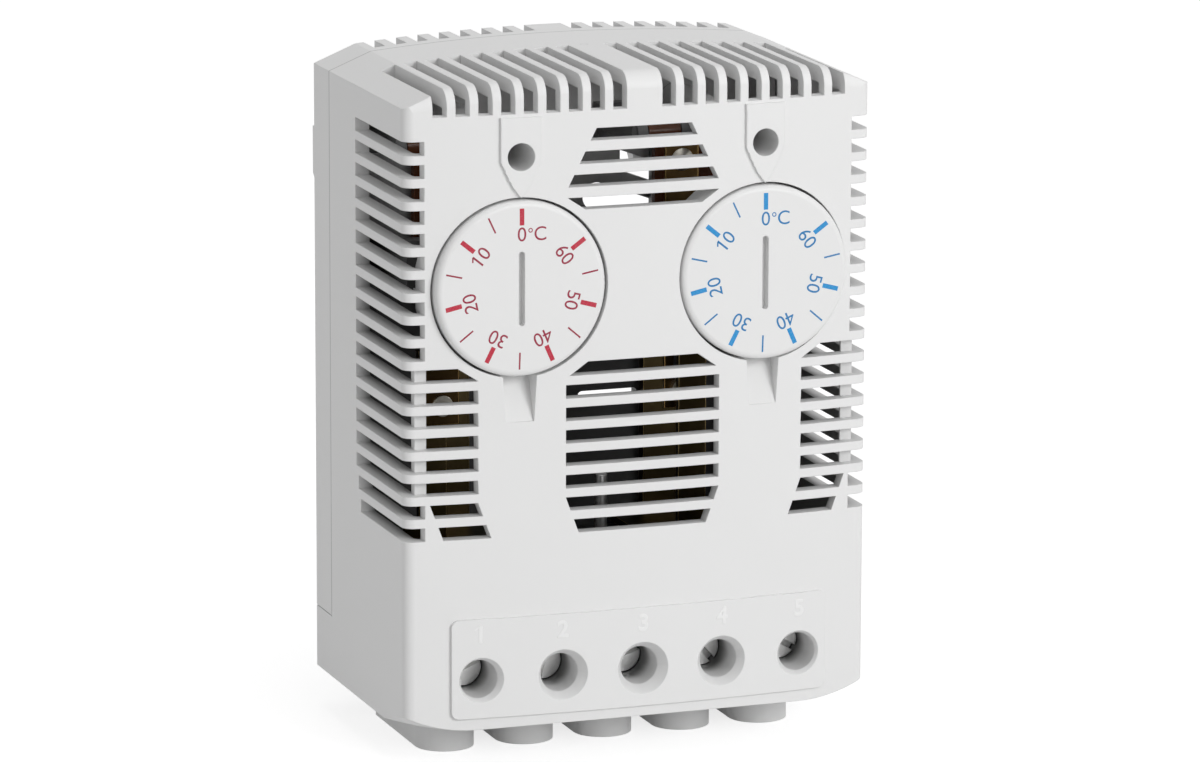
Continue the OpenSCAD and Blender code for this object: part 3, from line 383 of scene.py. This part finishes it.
SHELL = dict(colour=GREY, roughness=0.5, grain=0.22, joint=True, dark=1.0)
PLASTICS = {
    "housing_plastic": SHELL,
    "cover_plastic": dict(mark=GATE_MARK, **SHELL),
    "dial_plastic": dict(colour=GREY, roughness=0.42, grain=0.1, mottle=0.02, soft_edge=0.1 * MM),
    "terminal_plastic": dict(colour=GREY, roughness=0.55, grain=0.3, dark=1.0),
    # the raised figures are a lighter grey than the panel: painted highlight on their faces
    "raised_figures": dict(colour=(0.83, 0.83, 0.828), roughness=0.45, grain=0.1, soft_edge=0.05 * MM),
    "plunger_plastic": dict(colour=(0.6, 0.55, 0.42), roughness=0.45, grain=0.2, dark=0.7),
    "frame_resin": dict(
        colour=(0.2, 0.2, 0.2), roughness=0.45, grain=0.35, mottle=0.1, soft_edge=0.1 * MM, dark=0.8
    ),
    # the carrier and the clip get a stronger painted highlight along their edges
    "carrier_resin": dict(
        colour=(0.12, 0.038, 0.014), roughness=0.25, grain=0.3, mottle=0.5, soft_edge=0.08 * MM,
        dark=0.6, highlight_amount=0.5,
    ),
    "magnet": dict(colour=(0.035, 0.035, 0.038), roughness=0.42, grain=0.4, mottle=0.2, soft_edge=0.08 * MM),
    "clip_plastic": dict(colour=(0.05, 0.05, 0.052), roughness=0.5, grain=0.3, highlight_amount=0.6),
}
METALS = {
    "spindle_steel": dict(colour=(0.42, 0.42, 0.43), roughness=0.38, dark=0.7),
    # the bimetal and the busbars get a strong painted highlight along their edges
    "bimetal": dict(
        colour=(0.36, 0.22, 0.085), roughness=0.32, stain=0.5, soft_edge=0.16 * MM, dark=0.85, highlight_amount=2.5
    ),
    "contact_silver": dict(colour=(0.8, 0.77, 0.68), roughness=0.3, stain=0.2),
    "busbar_brass": dict(
        colour=(0.45, 0.33, 0.15), roughness=0.32, stain=0.4, soft_edge=0.14 * MM, dark=0.92, highlight_amount=1.5
    ),
    "screw_steel": dict(colour=(0.93, 0.93, 0.92), roughness=0.28, stain=0.3, grain=0.8, highlight_amount=0.1),
    "spring_steel": dict(colour=(0.62, 0.62, 0.64), roughness=0.25, stain=0.1),
}
INKS = {
    "red_ink": (0.46, 0.002, 0.03),
    "blue_ink": (0.0, 0.25, 0.58),
    "dark_red_ink": (0.28, 0.0, 0.03),
    "dark_blue_ink": (0.0, 0.17, 0.42),
}
finishes = {name: plastic(name, **look) for name, look in PLASTICS.items()}
finishes.update({name: metal(name, **look) for name, look in METALS.items()})
finishes.update({name: ink(name, colour) for name, colour in INKS.items()})

for part in frame["record"]["subparts"]:
    finish = "cover_plastic" if part["node"] == "cover" else part["material_slot"]
    for place in nodes[part["node"]].material_slots:
        place.material = finishes[finish]


# Helpers for meshes


def only(piece):
    """Selects this piece and nothing else."""
    bpy.ops.object.select_all(action="DESELECT")
    piece.select_set(True)
    bpy.context.view_layer.objects.active = piece


def start_edit():
    bpy.ops.object.mode_set(mode="EDIT")
    bpy.ops.mesh.select_all(action="SELECT")


def end_edit():
    bpy.ops.object.mode_set(mode="OBJECT")


def face_outwards():
    bpy.ops.mesh.select_all(action="SELECT")
    bpy.ops.mesh.normals_make_consistent(inside=False)


def apply_place():
    bpy.ops.object.transform_apply(location=True, rotation=True, scale=True)


def flat_start():
    """A square of one metre that faces up, to be scaled to a stroke."""
    bpy.ops.object.select_all(action="DESELECT")
    bpy.ops.mesh.primitive_plane_add(size=1)
    return bpy.context.object


def settle(piece, name, material, body):
    only(piece)
    apply_place()
    piece.name = piece.data.name = name
    piece.data.materials.clear()
    piece.data.materials.append(material)
    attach(piece, body)


def join(pieces):
    bpy.ops.object.select_all(action="DESELECT")
    for piece in pieces:
        piece.select_set(True)
    bpy.context.view_layer.objects.active = pieces[0]
    bpy.ops.object.join()
    return bpy.context.object


def crown_front(x):
    """Front of the raised fields at a distance from the middle."""
    return cad_low.y + x * x / (2 * (CROWN_R + RAISED))


def to_front(slope=0.0, angle=0.0):
    """Turns what faces up to the front, then by an angle in the front's plane and along the crown's slope."""
    turned = Matrix.Rotation(slope, 4, "Z") @ Matrix.Rotation(-angle, 4, "Y")
    return turned @ Matrix.Rotation(math.pi / 2, 4, "X")


# Printed and raised figures

MARK_FROM = 6.5 * MM  # where the scale's strokes begin, from the dial's middle
FIGURE_AT = 5.5 * MM  # middles of the scale's numbers, from the dial's middle
BROAD = (1.72 * MM, 0.48 * MM)  # length and width of a stroke
FINE = (1.74 * MM, 0.17 * MM)
FIGURE_SIZE = 2.05 * MM
C_BESIDE = 1.95 * MM  # from the middle of the 0 to that of the C
RING_BESIDE, RING_AT = 0.91 * MM, 5.95 * MM
RING_R, RING_LINE = 0.24 * MM, 0.1 * MM
INK_THICKNESS = 0.005 * MM
INK_FRONT = DIAL_FRONT - 0.006 * MM

TERMINAL_PITCH = 8.65 * MM
NUMBER_Z = -23.5 * MM
NUMBER_SIZE = 2.4 * MM
NUMBER_BEVEL = 0.08 * MM  # how far its rounded edge reaches outwards
NUMBER_RELIEF = 0.025 * MM  # how far it stands out of the panel
FLAG_SLANT = math.radians(218)


def thicken(piece, thickness):
    """Gives a flat outline facing the front a thickness towards the back."""
    only(piece)
    start_edit()
    bpy.ops.mesh.remove_doubles(threshold=MERGE)
    bpy.ops.mesh.extrude_region_move(TRANSFORM_OT_translate={"value": (0, thickness, 0)})
    face_outwards()
    end_edit()


def figure(text, size, at, angle=0.0, slope=0.0, bevel=0.0):
    """Figures that face the front, set at a place and turned: flat ones, or raised ones with a bevel."""
    bpy.ops.object.select_all(action="DESELECT")
    bpy.ops.object.text_add()
    made = bpy.context.object
    made.data.body = text
    made.data.size = size
    made.data.align_x = "CENTER"
    made.data.align_y = "CENTER"
    made.data.resolution_u = 6
    made.data.bevel_depth = bevel
    bpy.ops.object.convert(target="MESH")
    made = bpy.context.object
    if text.startswith("1"):
        made = join([made, flag_of_one(made, size, bevel)])
    if bevel:
        start_edit()
        bpy.ops.transform.resize(value=(1, 1, NUMBER_RELIEF / bevel))
        end_edit()
    made.matrix_world = Matrix.Translation(at) @ to_front(slope, angle)
    apply_place()
    return made


def flag_of_one(figures, size, height):
    """The short slanted stroke at the head of a 1, which the font leaves out."""
    top = max(v.co.y for v in figures.data.vertices)
    left = min(v.co.x for v in figures.data.vertices)
    width, length = 0.075 * size, 0.23 * size
    flag = flat_start()
    head = Matrix.Translation((left + 0.2 * width, top - 0.55 * width, height))
    slant = head @ Matrix.Rotation(FLAG_SLANT, 4, "Z")
    flag.matrix_world = slant @ Matrix.Translation((length / 2, 0, 0)) @ Matrix.Diagonal((length, width, 1, 1))
    apply_place()
    return flag


def tick(centre, stroke, angle):
    """A flat stroke of the scale that points away from the dial's middle."""
    length, width = stroke
    made = flat_start()
    turned = Matrix.Translation((centre.x, INK_FRONT, centre.z)) @ Matrix.Rotation(-angle, 4, "Y")
    out = turned @ Matrix.Translation((0, 0, MARK_FROM + length / 2))
    made.matrix_world = out @ Matrix.Rotation(math.pi / 2, 4, "X") @ Matrix.Diagonal((width, length, 1, 1))
    apply_place()
    return made


def degree_ring(centre):
    """The small ring before the C: a flat band, made from a circle and a second, smaller outline."""
    bpy.ops.object.select_all(action="DESELECT")
    bpy.ops.mesh.primitive_circle_add(vertices=24, radius=RING_R, fill_type="NGON")
    made = bpy.context.object
    made.matrix_world = Matrix.Translation(centre) @ to_front()
    start_edit()
    bpy.ops.mesh.inset(thickness=RING_LINE)
    bpy.ops.mesh.delete(type="FACE")
    end_edit()
    apply_place()
    return made


def scale_print(name, bright, dark):
    """Broad marks every ten degrees; in a darker ink the numbers and the thin strokes between them."""
    centre = DIALS[name]
    middle = Vector((centre.x, INK_FRONT, centre.z))
    broad, fine = [], []
    for i in range(TENS):
        angle = STEP * i
        broad.append(tick(centre, BROAD, angle))
        if i < TENS - 1:
            fine.append(tick(centre, FINE, angle + STEP / 2))
        out = Vector((-math.sin(angle), 0, math.cos(angle)))
        fine.append(figure(str(10 * i), FIGURE_SIZE, middle + out * FIGURE_AT, angle))
    fine.append(figure("C", FIGURE_SIZE, middle + Vector((C_BESIDE, 0, FIGURE_AT))))
    fine.append(degree_ring(middle + Vector((RING_BESIDE, 0, RING_AT))))
    for pieces, material, ending in ((broad, bright, "_marks"), (fine, dark, "_figures")):
        whole = join(pieces)
        thicken(whole, INK_THICKNESS)
        settle(whole, name + ending, finishes[material], name + "_setting")


scale_print("heating", "red_ink", "dark_red_ink")
scale_print("cooling", "blue_ink", "dark_blue_ink")

for i in range(5):
    x = (i - 2) * TERMINAL_PITCH
    at = Vector((x, crown_front(x), NUMBER_Z))
    number = figure(str(i + 1), NUMBER_SIZE, at, slope=x / CROWN_R, bevel=NUMBER_BEVEL)
    settle(number, f"terminal_number_{i + 1}", finishes["raised_figures"], "root")


# Cover: six rows on each side are cut open, and the bars in them set back behind the fins' edges

ROW_TOP, ROW_PITCH, ROW_GAP = 27.4 * MM, 2.325 * MM, 1.4 * MM
ROWS_TO_OPEN = range(10, 16)
CLEARANCE = 0.01 * MM  # left between a cutter and the row's own upper and lower face
# reach from the middle and depth of the two cutters in a row: the skin behind it, and the front of its bar
SKIN_CUT = (23.32 * MM, 23.68 * MM), (-39.04 * MM, -25.16 * MM)
BAR_CUT = (22.0 * MM, 24.2 * MM), (-43.2 * MM, -40.05 * MM)
SAME_WAY = 0.99  # from this cosine on, two faces are taken for one


def row_block(k, side, x, y):
    """Closed block in one row, just inside the row's own faces, between two reaches and two depths."""
    high = ROW_TOP - ROW_PITCH * k - CLEARANCE
    low = ROW_TOP - ROW_PITCH * k - ROW_GAP + CLEARANCE
    bpy.ops.object.select_all(action="DESELECT")
    bpy.ops.mesh.primitive_cube_add(size=1)
    block = bpy.context.object
    middle = Vector((side * (x[0] + x[1]) / 2, (y[0] + y[1]) / 2, (high + low) / 2))
    size = Matrix.Diagonal((x[1] - x[0], y[1] - y[0], high - low, 1))
    block.matrix_world = Matrix.Translation(middle) @ size
    apply_place()
    return block


def corner_place(mesh, i):
    """Rounded place of a face's corner, by which two meshes can be compared."""
    return tuple(round(c, 8) for c in mesh.vertices[mesh.loops[i].vertex_index].co)


def keep_shading(mesh, before):
    """Gives every corner the normal that it had before the cut, and new faces their own flat one."""
    known = {}
    for face in before.polygons:
        for i in face.loop_indices:
            pair = (face.normal.copy(), before.corner_normals[i].vector.copy())
            known.setdefault(corner_place(before, i), []).append(pair)
    normals = [None] * len(mesh.loops)
    for face in mesh.polygons:
        own = (face.normal, face.normal)
        for i in face.loop_indices:
            pairs = known.get(corner_place(mesh, i), [own])
            flat, corner = max(pairs, key=lambda pair: pair[0].dot(face.normal))
            normals[i] = corner if flat.dot(face.normal) > SAME_WAY else face.normal.copy()
    mesh.normals_split_custom_set(normals)


def opened_cover():
    before = nodes["cover"].data
    made = bpy.data.objects.new("louvred_cover", before.copy())
    bpy.context.collection.objects.link(made)
    only(made)
    start_edit()
    bpy.ops.mesh.remove_doubles(threshold=MERGE)
    end_edit()
    blocks = join([
        row_block(k, side, *cut)
        for side in (-1, 1)
        for k in ROWS_TO_OPEN
        for cut in (SKIN_CUT, BAR_CUT)
    ])
    only(made)
    cut = made.modifiers.new("open_rows", "BOOLEAN")
    cut.operation, cut.solver, cut.object = "DIFFERENCE", "EXACT", blocks
    bpy.ops.object.modifier_apply(modifier=cut.name)
    bpy.data.objects.remove(blocks)
    keep_shading(made.data, before)
    settle(made, "louvred_cover", finishes["cover_plastic"], "root")
    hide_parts("cover")


opened_cover()


# Raised pointer tabs round the cover screws' holes

TAB_Z = 25.5 * MM  # middle of the holes
TAB_DEPTH = RAISED + 0.1 * MM  # reaches a little into the cover
BOW_CUTS = 7  # straight cuts that each bowed side is made of


def cut_away(place, outward):
    bpy.ops.mesh.select_all(action="SELECT")
    bpy.ops.mesh.bisect(plane_co=place, plane_no=outward, clear_outer=True)


def pointer_tab(name, x):
    """A thin field round the hole: straight above, with two slightly bowed sides that meet in a point."""
    hole_r, half, above, shoulder, tip, bow_r = (n * MM for n in (1.42, 2.1, 4.0, -0.3, -4.15, 12.9))
    bow_centre = Vector((-10.19 * MM, tip + 7.9 * MM, 0))
    bpy.ops.object.select_all(action="DESELECT")
    bpy.ops.mesh.primitive_circle_add(vertices=64, radius=hole_r)
    made = bpy.context.object
    start_edit()
    # a second ring six times as wide leaves a sheet with the hole in it, to be cut to shape
    bpy.ops.mesh.extrude_region_move()
    bpy.ops.transform.resize(value=(6, 6, 6))
    cut_away((0, above, 0), (0, 1, 0))
    for side in (-1, 1):
        cut_away((side * half, 0, 0), (side, 0, 0))
        for k in range(BOW_CUTS):
            rise = tip + (shoulder - tip) * k / (BOW_CUTS - 1) - bow_centre.y
            out = Vector((math.sqrt(bow_r**2 - rise**2), rise, 0)) / bow_r
            spot = bow_centre + out * bow_r
            cut_away((side * spot.x, spot.y, 0), (side * out.x, out.y, 0))
    bpy.ops.mesh.select_all(action="SELECT")
    bpy.ops.mesh.remove_doubles(threshold=MERGE)
    bpy.ops.mesh.extrude_region_move(TRANSFORM_OT_translate={"value": (0, 0, TAB_DEPTH)})
    face_outwards()
    end_edit()
    sunk = to_front(slope=x / CROWN_R) @ Matrix.Translation((0, 0, -TAB_DEPTH))
    made.matrix_world = Matrix.Translation((x, crown_front(x), TAB_Z)) @ sunk
    settle(made, name, finishes["cover_plastic"], "root")


for name, centre in DIALS.items():
    pointer_tab(name + "_pointer_tab", centre.x)


# Floor, light and camera

FLOOR_SIZE = 6
FLOOR_GAP = 0.02 * MM  # under the lowest piece
FLOOR_LIT, FLOOR_SEEN, FLOOR_GLOW = 0.75, 0.95, 1.5  # grey that lights the object, and that the camera sees
SKY_LIT, SKY_SEEN = 0.45, 1.0  # strength that lights the object, and that the camera sees
LAMP_AIM = Vector((0, -0.02, 0))

# The camera: its turns in degrees, what it looks at, and its lens, for a picture 1200 pixels wide
AZIMUTH, ELEVATION, ROLL = -19.816, 12.276, 0.195
CAMERA_AIM, DISTANCE = Vector((6.567, -11.2, -5.213)) * MM, 712.257 * MM
PICTURE_WIDTH, FOCAL_PIXELS, SENSOR = 1200, 6716.41, 36


def seen_rays(tree):
    """One for rays from the camera, a mirror or glass; nought for the light that pale things pass on."""
    paths = add(tree, "ShaderNodeLightPath")
    seen = math_node(tree, "MAXIMUM", paths.outputs["Is Camera Ray"], paths.outputs["Is Glossy Ray"])
    return math_node(tree, "MAXIMUM", seen, paths.outputs["Is Transmission Ray"])


def floor_paint():
    """Dull for the light it throws on the object, and pale with a glow where it is seen."""
    made = bpy.data.materials.new("floor_paint")
    made.use_nodes = True
    tree = made.node_tree
    tree.nodes.clear()
    dull, pale = add(tree, "ShaderNodeBsdfDiffuse"), add(tree, "ShaderNodeBsdfDiffuse")
    glow = add(tree, "ShaderNodeEmission")
    dull.inputs["Color"].default_value = (FLOOR_LIT, FLOOR_LIT, FLOOR_LIT, 1)
    pale.inputs["Color"].default_value = (FLOOR_SEEN, FLOOR_SEEN, FLOOR_SEEN, 1)
    glow.inputs["Color"].default_value = (1, 1, 1, 1)
    glow.inputs["Strength"].default_value = FLOOR_GLOW
    lit, chosen = add(tree, "ShaderNodeMixShader"), add(tree, "ShaderNodeMixShader")
    lit.inputs["Fac"].default_value = 0.5
    tree.links.new(pale.outputs["BSDF"], lit.inputs[1])
    tree.links.new(glow.outputs["Emission"], lit.inputs[2])
    tree.links.new(seen_rays(tree), chosen.inputs["Fac"])
    tree.links.new(dull.outputs["BSDF"], chosen.inputs[1])
    tree.links.new(lit.outputs["Shader"], chosen.inputs[2])
    out = add(tree, "ShaderNodeOutputMaterial")
    tree.links.new(chosen.outputs["Shader"], out.inputs["Surface"])
    return made


bpy.ops.object.select_all(action="DESELECT")
bpy.ops.mesh.primitive_plane_add(size=FLOOR_SIZE, location=(0, 0, cad_low.z - FLOOR_GAP))
floor = bpy.context.object
floor.name = "floor"
floor.data.materials.append(floor_paint())

world = bpy.data.worlds.new("studio")
bpy.context.scene.world = world
world.use_nodes = True
sky = world.node_tree
back = sky.nodes["Background"]
level = add(sky, "ShaderNodeMapRange")
sky.links.new(seen_rays(sky), level.inputs["Value"])
level.inputs["To Min"].default_value = SKY_LIT
level.inputs["To Max"].default_value = SKY_SEEN
sky.links.new(level.outputs["Result"], back.inputs["Strength"])
back.inputs["Color"].default_value = (1, 1, 1, 1)


def softbox(name, place, side, power):
    """A square lamp that points at the middle of the object."""
    bpy.ops.object.select_all(action="DESELECT")
    bpy.ops.object.light_add(type="AREA", location=place)
    lamp = bpy.context.object
    lamp.name = name
    lamp.data.size = side
    lamp.data.energy = power
    lamp.rotation_mode = "QUATERNION"
    lamp.rotation_quaternion = (LAMP_AIM - Vector(place)).to_track_quat("-Z", "Y")


softbox("front_box", (0.26, -0.68, 0.26), 0.3, 2.7)
softbox("top_box", (0.0, -0.05, 0.8), 0.3, 0.9)
softbox("side_box", (-0.9, -0.25, 0.3), 0.5, 0.42)

bpy.ops.object.select_all(action="DESELECT")
bpy.ops.object.camera_add()
camera = bpy.context.object
bpy.context.scene.camera = camera
camera.name = "camera"
azimuth, elevation, roll = (math.radians(turn) for turn in (AZIMUTH, ELEVATION, ROLL))
away = Vector(
    (math.sin(azimuth) * math.cos(elevation), -math.cos(azimuth) * math.cos(elevation), math.sin(elevation))
)
right = (-away).cross(Vector((0, 0, 1))).normalized()
up = right.cross(-away)
right, up = math.cos(roll) * right + math.sin(roll) * up, -math.sin(roll) * right + math.cos(roll) * up
place = Matrix((right, up, away)).transposed().to_4x4()
place.translation = CAMERA_AIM + away * DISTANCE
camera.matrix_world = place
camera.data.sensor_width = SENSOR
camera.data.lens = FOCAL_PIXELS / PICTURE_WIDTH * SENSOR
camera.data.clip_start, camera.data.clip_end = 0.01, 20

bpy.context.scene.view_settings.view_transform = "Standard"

bpy.context.view_layer.update()
